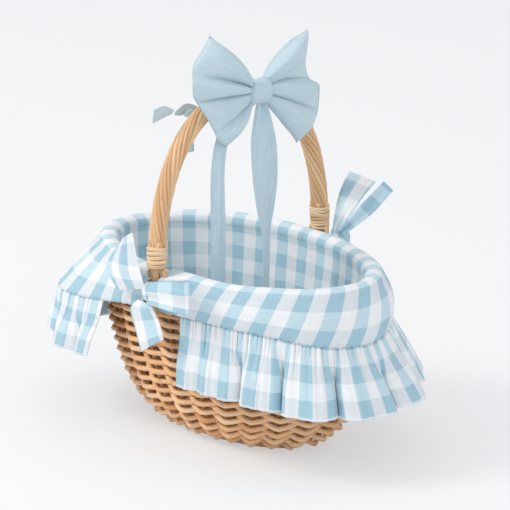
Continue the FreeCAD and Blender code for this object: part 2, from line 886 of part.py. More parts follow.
def make_left_tie():
    """Both halves of the cuff are tied in a bow outside the handle's foot."""
    place = left_tie_place()
    half = tie_knot_size / 2
    make_tie_knot("left_tie_knot", place)
    front = place + V(half + seat_gap, 0, 0)
    bend = front + V(left_tie_loop_length * 0.6, 0, left_tie_loop_rise)
    loop = [front, bend, front + V(left_tie_loop_length, 0, 0)]
    save("left_tie_loop", [ribbon(loop, V(0, 0, 1), tie_width, left_tie_loop_thickness)])
    back = place + V(-half - seat_gap, 0, half * 0.7)
    upper = [back, back + V(-left_tie_upper_length * 0.5, 0, left_tie_upper_rise * 0.4),
             back + V(-left_tie_upper_length, 0, left_tie_upper_rise)]
    save("left_tie_upper", [ribbon(upper, V(0, 0, 1), left_tie_upper_width, tie_thickness)])
    top = place + V(-tie_tail_shift, 0, -half - tail_drop_gap)
    end = top - V(0, 0, left_tie_tail_length)
    save("left_tie_tail", [ribbon([top, end], V(1, 0, 0), tie_width, tie_thickness)])


def make_right_tie():
    """The knot on the far side, with both ends standing up from it."""
    place = right_tie_place()
    half = tie_knot_size / 2
    make_tie_knot("right_tie_knot", place)
    for name, lean, side in (("right_tie_tail_a", 0.1, -1), ("right_tie_tail_b", 0.85, 1)):
        start = place + V(side * half * 0.5, 0, half + seat_gap + tie_thickness * lean)
        end = start + V(lean, 0.3, 1).normalize() * right_tie_tail_length
        save(name, [ribbon([start, end], V(0, 1, 0), right_tie_width, tie_thickness)])


os.makedirs("parts", exist_ok=True)
make_side_stakes()
make_weave()
make_base_sticks()
make_base_weave()
make_foot_ring()
make_rim_border()
make_handle_core()
make_handle_strands()
make_binding("handle_binding_left", left_binding_turns, True)
make_binding("handle_binding_right", right_binding_turns, False)
make_foot_rods("handle_foot_rods_left", -1)
make_foot_rods("handle_foot_rods_right", 1)
make_liner()
make_front_cloth()
make_back_cloth()
make_bow_knot()
make_bow_loop("bow_loop_left", -1, left_loop_shape)
make_bow_loop("bow_loop_right", 1, right_loop_shape)
make_bow_tail("bow_tail_left", -bow_knot_size * 0.25, -left_tail_reach, left_tail_length)
make_bow_tail("bow_tail_right", bow_knot_size * 0.25, right_tail_reach, right_tail_length)
make_ribbon_band()
make_ribbon_tie()
make_left_tie()
make_right_tie()
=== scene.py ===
import math
import random
from math import cos, pi, sin, tau

import bpy
import bmesh
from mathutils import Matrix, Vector, noise


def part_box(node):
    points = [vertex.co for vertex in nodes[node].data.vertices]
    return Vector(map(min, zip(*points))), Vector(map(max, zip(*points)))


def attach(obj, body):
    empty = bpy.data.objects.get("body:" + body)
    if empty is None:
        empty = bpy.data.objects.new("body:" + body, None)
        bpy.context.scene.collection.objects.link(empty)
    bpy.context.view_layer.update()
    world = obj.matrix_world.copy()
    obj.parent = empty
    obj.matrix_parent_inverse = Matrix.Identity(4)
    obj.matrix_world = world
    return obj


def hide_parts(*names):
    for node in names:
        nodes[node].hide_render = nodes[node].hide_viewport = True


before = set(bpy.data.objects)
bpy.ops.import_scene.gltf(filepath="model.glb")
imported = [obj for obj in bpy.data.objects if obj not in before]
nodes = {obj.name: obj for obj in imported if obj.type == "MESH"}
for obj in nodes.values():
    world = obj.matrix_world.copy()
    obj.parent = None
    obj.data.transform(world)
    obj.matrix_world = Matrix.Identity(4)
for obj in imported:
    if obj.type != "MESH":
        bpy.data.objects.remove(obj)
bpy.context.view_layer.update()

MM = 0.001
UP = Vector((0, 0, 1))
SIDEWAYS = Vector((1, 0.01, 0.01))     # never along the handle, so a rod's sections don't flip there
CHECK_ALONG, CHECK_ACROSS = 24.8 * MM, 28.2 * MM     # one blue and one white band of the gingham
RUFFLE_DEPTH = 62 * MM
RUFFLE_FIRST_CHECK = 10.4 * MM
HEM_WIDTH = 2 * MM
random.seed(7)


# ---- small helpers ----

def hermite(points, place, closed):
    """A smooth curve through points; place counts points, and may be a fraction."""
    count = len(points)
    low = math.floor(place)
    if not closed:
        low = min(max(low, 0), count - 2)
    part = place - low

    def at(i):
        return points[i % count] if closed else points[min(max(i, 0), count - 1)]
    a, b, c, d = at(low - 1), at(low), at(low + 1), at(low + 2)
    return (b * 2 + (c - a) * part + (a * 2 - b * 5 + c * 4 - d) * part ** 2
            + (b * 3 - a - c * 3 + d) * part ** 3) * 0.5


def islands(node):
    """The separate solids of a CAD node, each as {vertex index: place} with the links between them."""
    mesh = bmesh.new()
    mesh.from_mesh(nodes[node].data)
    bmesh.ops.remove_doubles(mesh, verts=mesh.verts, dist=1e-6)
    mesh.verts.ensure_lookup_table()
    left = set(range(len(mesh.verts)))
    found = []
    while left:
        start = left.pop()
        todo = [start]
        here = {start}
        while todo:
            vert = mesh.verts[todo.pop()]
            for edge in vert.link_edges:
                other = edge.other_vert(vert).index
                if other in left:
                    left.discard(other)
                    here.add(other)
                    todo.append(other)
        links = {i: [e.other_vert(mesh.verts[i]).index for e in mesh.verts[i].link_edges] for i in here}
        places = {i: mesh.verts[i].co.copy() for i in here}
        found.append((places, links))
    mesh.free()
    return found


def add_object(name, data):
    made = bpy.data.objects.new(name, data)
    bpy.context.scene.collection.objects.link(made)
    return made


def aim(thing, place, direction):
    """Sets a camera or lamp at a place, looking in a direction."""
    thing.location = place
    thing.rotation_mode = "QUATERNION"
    thing.rotation_quaternion = direction.to_track_quat("-Z", "Y")


def mean(vectors):
    total = Vector((0, 0, 0))
    for v in vectors:
        total += v
    return total / len(vectors)


def middle_of(node):
    low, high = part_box(node)
    return (low + high) / 2


def spot(x, y, z, dx=0, dy=0, dz=0):
    """A place some millimetres from (x, y, z)."""
    return Vector((x + dx * MM, y + dy * MM, z + dz * MM))


def travelled(points):
    """How far along a line of points each of them is."""
    travel = [0.0]
    for a, b in zip(points, points[1:]):
        travel.append(travel[-1] + (b - a).length)
    return travel


def index_at(values, target):
    """Where target comes among rising values, as an index with a fraction."""
    low = 0
    while low < len(values) - 2 and values[low + 1] < target:
        low += 1
    return low + (target - values[low]) / (values[low + 1] - values[low])


def open_rod_centres(places, links, sides, key):
    """Middle points of an open rod's sections, from the end where key is lowest."""
    ring = sorted(places, key=lambda i: key(places[i]))[:sides]
    seen = set(ring)
    centres = []
    while ring:
        centres.append(mean([places[i] for i in ring]))
        following = {j for i in ring for j in links[i]} - seen
        seen |= following
        ring = list(following)
    return centres


def closed_rod_centres(places, sides):
    """Middle points of a closed rod's sections, in order round the Z axis."""
    long = max(abs(p.x) for p in places.values())
    wide = max(abs(p.y) for p in places.values())
    ring = sorted(places.values(), key=lambda p: math.atan2(p.y / wide, p.x / long))
    turns = [math.atan2(p.y / wide, p.x / long) for p in ring]
    gaps = [(turns[i] - turns[i - 1]) % (tau) for i in range(len(ring))]
    first = max(range(len(ring)), key=lambda i: gaps[i])
    ring = ring[first:] + ring[:first]
    centres = [mean(ring[i:i + sides]) for i in range(0, len(ring), sides)]
    steps = [(centres[i] - centres[i - 1]).length for i in range(len(centres))]
    typical = sorted(steps)[len(steps) // 2]
    kept = []
    for i, centre in enumerate(centres):
        after = steps[(i + 1) % len(steps)]
        if steps[i] > 0.7 * typical or after > 0.7 * typical:
            kept.append(centre)
    return kept


class MeshMaker:
    """Collects points, faces and UVs, and makes one object from them."""

    def __init__(self):
        self.points = []
        self.faces = []
        self.uvs = []

    def grid(self, rows, uvs, closed_rows=False, closed_columns=False):
        base = len(self.points)
        height, width = len(rows), len(rows[0])
        for row in rows:
            self.points.extend(row)
        for i in range(height if closed_rows else height - 1):
            for j in range(width if closed_columns else width - 1):
                corners = [(i, j), (i, j + 1), (i + 1, j + 1), (i + 1, j)]
                self.faces.append([base + (a % height) * width + b % width for a, b in corners])
                self.uvs.append([uvs(a, b) for a, b in corners])

    def cap(self, first, count, uv):
        """Closes a ring of points with one face."""
        self.faces.append(list(range(first, first + count)))
        self.uvs.append([uv] * count)

    def tube(self, path, radii, sides, closed, seed, up=UP, flat=1.0):
        """A round rod along a path; U runs along it in metres and V round it."""
        rows = []
        count = len(path)
        travel = [0.0]
        for i in range(count):
            ahead = path[(i + 1) % count] if closed else path[min(i + 1, count - 1)]
            behind = path[i - 1] if closed else path[max(i - 1, 0)]
            along = (ahead - behind).normalized()
            side = along.cross(up).normalized()
            rise = side.cross(along)
            travel.append(travel[-1] + (ahead - path[i]).length)
            row = []
            for k in range(sides):
                turn = tau * k / sides
                row.append(path[i] + (side * (cos(turn) * flat) + rise * sin(turn)) * radii[i])
            rows.append(row)

        def uv(i, j):
            return (travel[i] + 3.7 * seed, 0.012 * j / sides + 0.31 * seed)
        first = len(self.points)
        self.grid(rows, uv, closed_rows=closed, closed_columns=True)
        if not closed:
            for row_start in (first, first + sides * (count - 1)):
                self.cap(row_start, sides, uv(0, 0))

    def build(self, name, material, node, body="basket", thickness=0.0):
        """One object in place of a CAD node; thickness is given to single sheets of cloth."""
        mesh = bpy.data.meshes.new(name)
        mesh.from_pydata([tuple(p) for p in self.points], [], self.faces)
        layer = mesh.uv_layers.new(name="UVMap")
        at = 0
        for corners in self.uvs:
            for corner in corners:
                layer.data[at].uv = corner
                at += 1
        for polygon in mesh.polygons:
            polygon.use_smooth = True
        made = bmesh.new()
        made.from_mesh(mesh)
        bmesh.ops.recalc_face_normals(made, faces=made.faces)
        made.to_mesh(mesh)
        made.free()
        mesh.materials.append(material)
        piece = add_object(name, mesh)
        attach(piece, body)
        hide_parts(node)
        if thickness:
            solid = piece.modifiers.new("thickness", "SOLIDIFY")
            solid.thickness = thickness
            solid.offset = 0
        return piece


# ---- materials ----

class Nodes:
    """Short calls for building a node material."""

    def __init__(self, name):
        self.material = bpy.data.materials.new(name)
        self.material.use_nodes = True
        self.tree = self.material.node_tree
        self.shader = self.tree.nodes["Principled BSDF"]

    def link(self, a, b):
        self.tree.links.new(a, b)

    def put(self, value, socket):
        """Links a node's output to a socket, or sets the socket to a constant."""
        if hasattr(value, "is_output"):
            self.link(value, socket)
        else:
            socket.default_value = value

    def add(self, kind, **inputs):
        node = self.tree.nodes.new(kind)
        for key, value in inputs.items():
            self.put(value, node.inputs[key])
        return node

    def surface(self, color, roughness, **inputs):
        """Colour, roughness and other constants on the shader."""
        self.put(color, self.shader.inputs["Base Color"])
        self.put(roughness, self.shader.inputs["Roughness"])
        for key, value in inputs.items():
            self.put(value, self.shader.inputs[key.replace("_", " ")])

    def math(self, operation, a, b=None):
        node = self.tree.nodes.new("ShaderNodeMath")
        node.operation = operation
        for socket, value in zip(node.inputs, (a, b)):
            if value is not None:
                self.put(value, socket)
        return node.outputs[0]

    def mix(self, factor, a, b, blend="MIX"):
        node = self.tree.nodes.new("ShaderNodeMix")
        node.data_type = "RGBA"
        node.blend_type = blend
        for socket, value in ((node.inputs[0], factor), (node.inputs[6], a), (node.inputs[7], b)):
            self.put(value + (1.0,) if isinstance(value, tuple) else value, socket)
        return node.outputs[2]

    def ramp(self, value, stops):
        node = self.tree.nodes.new("ShaderNodeValToRGB")
        self.link(value, node.inputs[0])
        while len(node.color_ramp.elements) < len(stops):
            node.color_ramp.elements.new(0.5)
        for element, (place, color) in zip(node.color_ramp.elements, stops):
            element.position = place
            element.color = color + (1.0,) if isinstance(color, tuple) else (color, color, color, 1.0)
        return node.outputs[0]

    def uv(self, scale):
        """UV coordinates, in metres, times a scale for each axis."""
        source = self.tree.nodes.new("ShaderNodeUVMap")
        source.uv_map = "UVMap"
        mapping = self.tree.nodes.new("ShaderNodeMapping")
        mapping.inputs["Scale"].default_value = scale
        self.link(source.outputs[0], mapping.inputs[0])
        return mapping.outputs[0]

    def noise(self, vector, scale, detail=2.0):
        node = self.add("ShaderNodeTexNoise", Scale=scale, Detail=detail)
        self.link(vector, node.inputs["Vector"])
        return node.outputs["Fac"]

    def separate(self, vector):
        node = self.tree.nodes.new("ShaderNodeSeparateXYZ")
        self.link(vector, node.inputs[0])
        return node.outputs[0], node.outputs[1], node.outputs[2]

    def stripe(self, place):
        """0 or 1 along a line, half and half, with edges a little soft."""
        wave = self.math("SINE", self.math("MULTIPLY", place, tau))
        return self.math("ADD", 0.5, self.clamped(self.math("MULTIPLY", wave, 9.0), 0.5))

    def clamped(self, value, limit):
        return self.math("MINIMUM", self.math("MAXIMUM", value, -limit), limit)

    def bump(self, height, strength, distance):
        node = self.add("ShaderNodeBump", Strength=strength, Distance=distance)
        self.link(height, node.inputs["Height"])
        self.link(node.outputs[0], self.shader.inputs["Normal"])


def willow_material(name, pale, tan, brown):
    """Peeled willow: long grain, a tone of its own for each rod, and a few darker marks."""
    n = Nodes(name)
    grain = n.noise(n.uv((40, 900, 1)), 1.0, 4.0)
    tone = n.noise(n.uv((3.0, 3.0, 1)), 1.0, 1.0)
    marks = n.noise(n.uv((70, 60, 1)), 1.0, 2.0)
    base = n.ramp(tone, [(0.33, pale), (0.52, tan), (0.72, brown)])
    streak = n.ramp(grain, [(0.3, (0.80, 0.74, 0.68)), (0.55, (1.0, 1.0, 1.0))])
    color = n.mix(0.75, base, streak, "MULTIPLY")
    spots = n.ramp(marks, [(0.28, (0.62, 0.48, 0.36)), (0.36, (1.0, 1.0, 1.0))])
    color = n.mix(0.6, color, spots, "MULTIPLY")
    n.surface(color, 0.5)
    n.bump(grain, 0.35, 0.0004)
    return n.material


WILLOW = willow_material("willow", (0.98, 0.68, 0.42), (0.90, 0.55, 0.29), (0.68, 0.34, 0.15))
# Painted shade: the stakes show only in the gaps between the rods, so their colours are made darker than the rods' to
# stand in for the shade there, not for a darker wood.
STAKE_WILLOW_PAINTED_SHADE = willow_material("stake_willow_painted_shade", (0.62, 0.38, 0.21), (0.50, 0.28, 0.14), (0.36, 0.18, 0.08))
HANDLE_WILLOW = willow_material("handle_willow", (0.90, 0.62, 0.37), (0.76, 0.47, 0.25), (0.55, 0.30, 0.14))
CANE = willow_material("flat_cane", (0.93, 0.70, 0.46), (0.86, 0.59, 0.35), (0.70, 0.44, 0.23))


def cloth_bump(n, thread):
    """Fine crossing threads this far apart, and soft creases over them."""
    u, v, _ = n.separate(n.uv((1, 1, 1)))
    warp = n.math("SINE", n.math("MULTIPLY", u, tau / thread))
    weft = n.math("SINE", n.math("MULTIPLY", v, tau / thread))
    threads = n.math("MULTIPLY", n.math("MULTIPLY", warp, weft), 0.12)
    crease = n.noise(n.uv((60, 38, 1)), 1.0, 3.0)
    n.bump(n.math("ADD", threads, crease), 0.35, 0.0012)


def gingham_material(name, hem):
    """Woven checks: blue threads one way over white the other, with both blue where they cross.

    Where hem isn't 0, the cloth is paler beyond that V, where its hem is turned up.
    """
    n = Nodes(name)
    wavy = n.noise(n.uv((25, 25, 1)), 1.0, 1.0)
    u, v, _ = n.separate(n.uv((1 / CHECK_ALONG, 1 / CHECK_ACROSS, 1)))
    shift = n.math("MULTIPLY", n.math("SUBTRACT", wavy, 0.5), 0.05)
    across = n.stripe(n.math("ADD", u, shift))
    along = n.stripe(n.math("ADD", v, shift))
    white, warp, weft, both = (0.92, 0.93, 0.945), (0.59, 0.77, 0.845), (0.77, 0.82, 0.85), (0.40, 0.61, 0.715)
    plain = n.mix(across, white, warp)
    crossed = n.mix(across, weft, both)
    color = n.mix(along, plain, crossed)
    slub = n.noise(n.uv((350, 40, 1)), 1.0, 2.0)
    slub_across = n.noise(n.uv((40, 350, 1)), 1.0, 2.0)
    tone = n.ramp(n.math("MULTIPLY", n.math("ADD", slub, slub_across), 0.5), [(0.35, 0.93), (0.65, 1.0)])
    color = n.mix(1.0, color, tone, "MULTIPLY")
    if hem:
        edge = n.math("GREATER_THAN", n.separate(n.uv((1, 1, 1)))[1], hem)
        color = n.mix(n.math("MULTIPLY", edge, 0.55), color, (0.90, 0.92, 0.94))
    n.surface(color, 0.85, Sheen_Weight=0.15, Sheen_Roughness=0.5)
    cloth_bump(n, 0.0009)
    return n.material


def plain_cloth_material(name, color, deep):
    n = Nodes(name)
    tone = n.noise(n.uv((30, 12, 1)), 1.0, 2.0)
    slub = n.noise(n.uv((500, 60, 1)), 1.0, 2.0)
    base = n.ramp(tone, [(0.3, deep), (0.65, color)])
    shade = n.ramp(slub, [(0.35, 0.92), (0.65, 1.0)])
    n.surface(n.mix(1.0, base, shade, "MULTIPLY"), 0.75, Sheen_Weight=0.2)
    cloth_bump(n, 0.0007)
    return n.material


GINGHAM = gingham_material("gingham", 0.0)
RUFFLE_GINGHAM = gingham_material("gingham_hemmed", RUFFLE_FIRST_CHECK + RUFFLE_DEPTH - HEM_WIDTH)
BOW_CLOTH = plain_cloth_material("bow_cloth", (0.62, 0.76, 0.82), (0.55, 0.71, 0.78))
RIBBON = plain_cloth_material("narrow_ribbon", (0.66, 0.80, 0.86), (0.58, 0.73, 0.80))


# ---- the woven wall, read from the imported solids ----

weave_nodes = sorted(n for n in nodes if n.startswith("weave_row_"))
strand_sets = {}
for node in weave_nodes:
    rings = [closed_rod_centres(places, sides=4) for places, links in islands(node)]
    strand_sets[node] = sorted(rings, key=lambda ring: mean(ring).z)

SAMPLES_PER_BAY = 6
ROD_RADIUS = 2.38 * MM
STAKE_RADIUS = 2.0 * MM
HANDLE_ROD_RADIUS = 1.68 * MM
FOOT_ROD_RADIUS = 1.95 * MM


def strand_path(ring):
    """The bent willow: a smooth wave through the places where it passes the stakes."""
    count = len(ring)
    middle = [(ring[i - 1] + ring[i] * 2 + ring[(i + 1) % count]) / 4 for i in range(count)]
    away = [ring[i] - middle[i] for i in range(count)]
    path = []
    for i in range(count):
        for k in range(SAMPLES_PER_BAY):
            part = k / SAMPLES_PER_BAY
            swing = 0.45 * (1 + cos(pi * part)) / 2 + 0.55 * (1 - part)
            path.append(hermite(middle, i + part, True) + away[i] * swing + away[(i + 1) % count] * (1 - swing))
    return path


def make_weave():
    seed = 0
    for node in weave_nodes:
        maker = MeshMaker()
        for ring in strand_sets[node]:
            seed += 1
            path = strand_path(ring)
            lean = random.random() * 6.28
            radii = []
            for i, point in enumerate(path):
                turn = tau * i / len(path)
                wobble = noise.noise(point * 60 + Vector((seed, 0, 0)))
                radii.append(ROD_RADIUS * (1 + 0.05 * sin(turn + lean) + 0.06 * wobble))
                path[i] = point + UP * (0.25 * MM * noise.noise(point * 45 + Vector((0, seed * 3.1, 0))))
            maker.tube(path, radii, 10, True, seed)
        maker.build("woven_" + node[6:], WILLOW, node)


def make_stakes():
    maker = MeshMaker()
    for seed, (places, links) in enumerate(islands("side_stakes")):
        centres = open_rod_centres(places, links, sides=4, key=lambda p: p.xy.length)
        path = [hermite(centres, k / 3, False) for k in range(3 * (len(centres) - 1) + 1)]
        maker.tube(path, [STAKE_RADIUS] * len(path), 8, False, seed + 50, up=Vector((0.3, 0.4, 0.2)))
    maker.build("stakes", STAKE_WILLOW_PAINTED_SHADE, "side_stakes")


# ---- handle ----

def handle_stations():
    """Middle of the handle and one strand's offset from it, at each section of the strands."""
    strands = [open_rod_centres(places, links, sides=5, key=lambda p: p.z if p.y < 0 else 9)
               for places, links in islands("handle_strands")]
    middles = [mean([strand[k] for strand in strands]) for k in range(len(strands[0]))]
    return middles, [strands[0][k] - middles[k] for k in range(len(middles))]


HANDLE_MIDDLES, HANDLE_OFFSETS = handle_stations()
HANDLE_RODS = 12


def make_handle():
    """Rods twisted round a core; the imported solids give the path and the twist."""
    maker = MeshMaker()
    last = len(HANDLE_MIDDLES) - 1
    for rod in range(HANDLE_RODS):
        turn = tau * rod / HANDLE_RODS
        controls = []
        for k, (middle, offset) in enumerate(zip(HANDLE_MIDDLES, HANDLE_OFFSETS)):
            ahead = (HANDLE_MIDDLES[min(k + 1, last)] - HANDLE_MIDDLES[max(k - 1, 0)]).normalized()
            side = ahead.cross(offset)
            loose = 0.88 + 0.05 * noise.noise(Vector((rod * 3.3, k * 0.4, 0)))
            controls.append(middle + (offset * cos(turn) + side * sin(turn)) * loose)
        path = [hermite(controls, k / 6, False) for k in range(6 * last + 1)]
        radii = [HANDLE_ROD_RADIUS * (1 + 0.09 * noise.noise(p * 30 + Vector((rod * 7, 0, 0)))) for p in path]
        maker.tube(path, radii, 10, False, rod + 100, up=SIDEWAYS)
    maker.build("handle_rods", HANDLE_WILLOW, "handle_strands")
    plain_nodes(["handle_core"], HANDLE_WILLOW)


def handle_middle_at(z, side):
    """Middle of the handle at a height, on the side of one foot."""
    half = len(HANDLE_MIDDLES) // 2
    middles = HANDLE_MIDDLES[:half + 1] if side < 0 else HANDLE_MIDDLES[:half - 1:-1]
    low = max((k for k in range(len(middles) - 1) if middles[k].z <= z), default=0)
    part = (z - middles[low].z) / (middles[low + 1].z - middles[low].z)
    return middles[low].lerp(middles[low + 1], part)


def make_binding(node, side, turns, seed, lower=0.0, shorter=0.0):
    """Flat cane wound round the handle's foot, its turns lying unevenly, with rod ends above it.

    lower and shorter move the solid's lower and upper end down.
    """
    low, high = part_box(node)
    reach = (high.x - low.x) / 2 - 2.4 * MM
    low.z -= lower
    high.z -= shorter
    pitch = (high.z - low.z) / turns
    steps = 40
    maker = MeshMaker()
    for k in range(turns):
        path = []
        lean = 1.3 * MM * noise.noise(Vector((k * 1.7, seed, 0)))
        for i in range(steps):
            turn = tau * i / steps
            z = low.z + pitch * (k + 0.5) + lean * sin(turn + seed) + 0.5 * MM * sin(2 * turn + k)
            corner = 1 + 0.06 * cos(4 * turn + 0.25 * k)
            wide = reach * (corner + 0.04 * noise.noise(Vector((k * 2.3, seed, 4))))
            middle = handle_middle_at(z, side)
            path.append(middle + Vector((wide * cos(turn), wide * sin(turn), 0)) + UP * (z - middle.z))
        maker.tube(path, [pitch * 0.49] * steps, 10, True, seed * 9 + k, flat=0.36)
    for k in range(5):
        turn = 0.9 + 1.25 * k + seed
        out = Vector((cos(turn), sin(turn), 0))
        foot = handle_middle_at(high.z - 3 * MM, side) + out * (reach - 1.6 * MM)
        tall = high.z + (4.5 + 3.5 * noise.noise(Vector((k * 5.1, seed, 1)))) * MM
        tip = handle_middle_at(tall, side) + out * (reach - 1.2 * MM)
        maker.tube([foot, foot.lerp(tip, 0.5), tip], [1.5 * MM, 1.5 * MM, 1.2 * MM], 8, False, seed + k + 40,
                   up=SIDEWAYS)
    maker.build(node + "_cane", CANE, node)


def make_foot_rods(node, seed):
    """The handle's lower ends, run down outside the wall."""
    maker = MeshMaker()
    for k, (places, links) in enumerate(islands(node)):
        centres = open_rod_centres(places, links, sides=4, key=lambda p: p.z)
        path = [hermite(centres, i / 5 * (len(centres) - 1), False) for i in range(6)]
        tuck = handle_middle_at(path[-1].z, math.copysign(1, path[-1].y))
        path[-1] = path[-1].lerp(tuck, 0.45) + UP * 2 * MM
        maker.tube(path, [FOOT_ROD_RADIUS] * 6, 10, False, seed + k, up=SIDEWAYS)
    maker.build(node + "_round", HANDLE_WILLOW, node)


def plain_nodes(names, material):
    for name in names:
        nodes[name].data.materials.clear()
        nodes[name].data.materials.append(material)


# ---- the wall as a smooth surface, for the cloth that hangs on it ----

def fitted_ellipse(points):
    """Half axes of the upright ellipse nearest to the points."""
    xx = sum(p.x ** 4 for p in points)
    xy = sum(p.x ** 2 * p.y ** 2 for p in points)
    yy = sum(p.y ** 4 for p in points)
    x = sum(p.x ** 2 for p in points)
    y = sum(p.y ** 2 for p in points)
    spread = xx * yy - xy * xy
    return math.sqrt(spread / (x * yy - y * xy)), math.sqrt(spread / (y * xx - x * xy))


def wall_levels():
    """(half length, half width, height) of the wall's middle, row by row and at the border."""
    levels = []
    for node in weave_nodes:
        points = [p for ring in strand_sets[node] for p in ring]
        levels.append(Vector(fitted_ellipse(points) + (mean(points).z,)))
    border = closed_rod_centres(islands("rim_border")[0][0], sides=6)
    levels.append(Vector(fitted_ellipse(border) + (mean(border).z,)))
    return levels


LEVELS = wall_levels()
LEVEL_HEIGHTS = [level.z for level in LEVELS]
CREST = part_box("liner_bowl")[1].z
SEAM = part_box("cuff_front")[0].z
RIM_LENGTH = LEVELS[-1].x
RIM_WIDTH = LEVELS[-1].y
RIM_STEPS = 720


def wall_axes(z):
    z = min(max(z, LEVEL_HEIGHTS[0]), LEVEL_HEIGHTS[-1])
    found = hermite(LEVELS, index_at(LEVEL_HEIGHTS, z), False)
    return found.x, found.y


def wall(angle, z, offset):
    """A place this far out from the wall's middle, with the direction out from the wall there."""
    a, b = wall_axes(z)
    a_above, b_above = wall_axes(z + 2 * MM)
    cosine, sine = cos(angle), sin(angle)
    place = Vector((a * cosine, b * sine, z))
    around = Vector((-a * sine, b * cosine, 0)).normalized()
    upward = Vector(((a_above - a) * cosine, (b_above - b) * sine, 2 * MM)).normalized()
    outward = around.cross(upward).normalized()
    return place + outward * offset, outward


def rim_table():
    """Lengths round the rim at even angles, to turn a share of the way round into an angle."""
    travel = [0.0]
    for i in range(RIM_STEPS):
        angle = tau * (i + 0.5) / RIM_STEPS
        travel.append(travel[-1] + math.hypot(RIM_LENGTH * sin(angle), RIM_WIDTH * cos(angle))
                      * tau / RIM_STEPS)
    return travel


RIM_TRAVEL = rim_table()
ROUND = RIM_TRAVEL[-1]


def rim_angle(share):
    """Angle of a place this share of the way round the rim from the +X end."""
    turns = math.floor(share)
    target = (share - turns) * ROUND
    low, high = 0, RIM_STEPS
    while high - low > 1:
        middle = (low + high) // 2
        if RIM_TRAVEL[middle] <= target:
            low = middle
        else:
            high = middle
    part = (target - RIM_TRAVEL[low]) / (RIM_TRAVEL[low + 1] - RIM_TRAVEL[low])
    return tau * (turns + (low + part) / RIM_STEPS)


def ease(x):
    x = min(max(x, 0.0), 1.0)
    return x * x * (3 - 2 * x)


def ripple(place, scale, seed):
    """Smooth noise along one line, from about -1 to 1."""
    return 1.6 * noise.noise(Vector((place * scale, seed * 5.3, seed * 1.7)))


# ---- liner ----

LINER_INSET = RIM_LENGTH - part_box("liner_bowl")[1].x + 0.6 * MM
# Raised above the solid's floor. The base's willow still comes through along the floor's edge.
LINER_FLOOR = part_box("liner_bowl")[0].z + 2.4 * MM


def liner_place(share, z):
    angle = rim_angle(share)
    depth = (CREST - z) / (CREST - LINER_FLOOR)
    fold = 0.5 + 0.5 * sin(share * ROUND / (30 * MM) * tau + 3 * ripple(share * ROUND, 14, 3))
    fold = fold * 1.8 * MM * ease(depth * 2.2)
    sag = 2.2 * MM * ease(depth * 3) * (0.5 + 0.5 * ripple(share * ROUND + z, 9, 8))
    corner = 4.5 * MM * (1 - ease((z - LINER_FLOOR) / (14 * MM)))
    return wall(angle, z, -LINER_INSET - fold - max(sag, 0) - corner)[0]


# ---- cuff ----

SLOT_SHARE = (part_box("cuff_front")[0].x + 1.0 * MM) / ROUND
CUFF_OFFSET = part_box("cuff_front")[1].y - RIM_WIDTH - 0.5 * MM
CUFF_RISE = 8 * MM
CUFF_START = CREST + 0.8 * MM - CUFF_RISE
KNOT = middle_of("left_tie_knot")
CUFF_SKEW = 0.36
PROFILE_CREST = 8     # the step of the cuff's profile on its crest, and the one where its outer face begins
PROFILE_FACE = 13


def cuff_profile(seam):
    """(offset, height, distance from the crest) from behind the liner, over the border and down."""
    inner = LINER_INSET + 0.2 * MM
    reach = (inner + CUFF_OFFSET) / 2
    middle = (CUFF_OFFSET - inner) / 2
    places = [(-LINER_INSET + 1.2 * MM * (1 - k / 3), CUFF_START - 4 * MM * (1 - k / 3)) for k in range(3)]
    for k in range(11):
        turn = pi * (1 - k / 10)
        places.append((middle + reach * cos(turn), CUFF_START + CUFF_RISE * sin(turn)))
    top = places[-1][1]
    for k in range(1, 15):
        places.append((CUFF_OFFSET, top + (seam - top) * k / 14))
    travel = [0.0]
    for a, b in zip(places, places[1:]):
        travel.append(travel[-1] + math.hypot(b[0] - a[0], b[1] - a[1]))
    crest = travel[PROFILE_CREST]
    return [(offset, z, run - crest) for (offset, z), run in zip(places, travel)]


PROFILE = cuff_profile(SEAM + 0.4 * MM)
CUFF_SHIFT = (CHECK_ACROSS / 2 - PROFILE[-1][2]) % CHECK_ACROSS


def cuff_place(share, step, flare, drawn):
    """One point of the cuff: step counts along its profile."""
    offset, z, run = PROFILE[step]
    angle = rim_angle(share)
    down = max(0.0, (step - PROFILE_FACE) / 14)
    arc = share * ROUND
    belly = sin(pi * down) * (3.0 + 1.6 * ripple(arc, 18, 2)) * MM
    gather = 0.6 * MM * sin(arc / (5.5 * MM) * tau + 4 * ripple(arc, 40, 6)) * ease(down * 4 - 3)
    folds = 1.5 * MM * ripple(arc + 0.5 * run, 30, 4) * ease(down * 2)
    crest_wave = 2.3 * MM * ripple(arc, 16, 9) * ease(1 - abs(step - PROFILE_CREST) / 7)
    place, outward = wall(angle, z + drawn(angle) * down, offset + (belly + gather + folds) * (step > PROFILE_FACE))
    level = Vector((outward.x, outward.y, 0)).normalized()
    place = place + level * (flare(angle) * down ** 1.1)
    place.z += crest_wave
    return place


def front_flare(angle):
    return 7 * MM * cos(angle) ** 2


def front_drawn(angle):
    """How much higher the seam is than the solid's: up beside the handle, down at the end."""
    return (9.5 - 15.5 * cos(angle) ** 4) * MM


BACK_PEAK = math.radians(209)


def back_peak(angle):
    """1 where the back cuff stands out furthest, towards the tied side, and 0 beside the handle."""
    turn = angle - BACK_PEAK
    return max(cos(turn * (0.5 if turn < 0 else 1.0)), 0.0) ** 8


def back_flare(angle):
    return 38 * MM * back_peak(angle)


def back_drawn(angle):
    tied = ease((angle - math.radians(228)) / math.radians(36))
    return 7 * MM * tied - 5 * MM * back_peak(angle)


def tie_pinch(place, width):
    """Draws the cloth beside the left knot together towards it."""
    near = ease(1 - (abs(place.x) - 12 * MM) / width) if place.y < 0 else 0.0
    if near == 0:
        return place
    kept = 0.75 if place.x > 0 else 0.45
    target = Vector((math.copysign(8 * MM, place.x), KNOT.y + 2 * MM, KNOT.z + 1 * MM + (place.z - KNOT.z) * kept))
    outside = ease((-place.y - RIM_WIDTH - 2 * MM) / (5 * MM))
    return place.lerp(target, near * outside * 0.9)


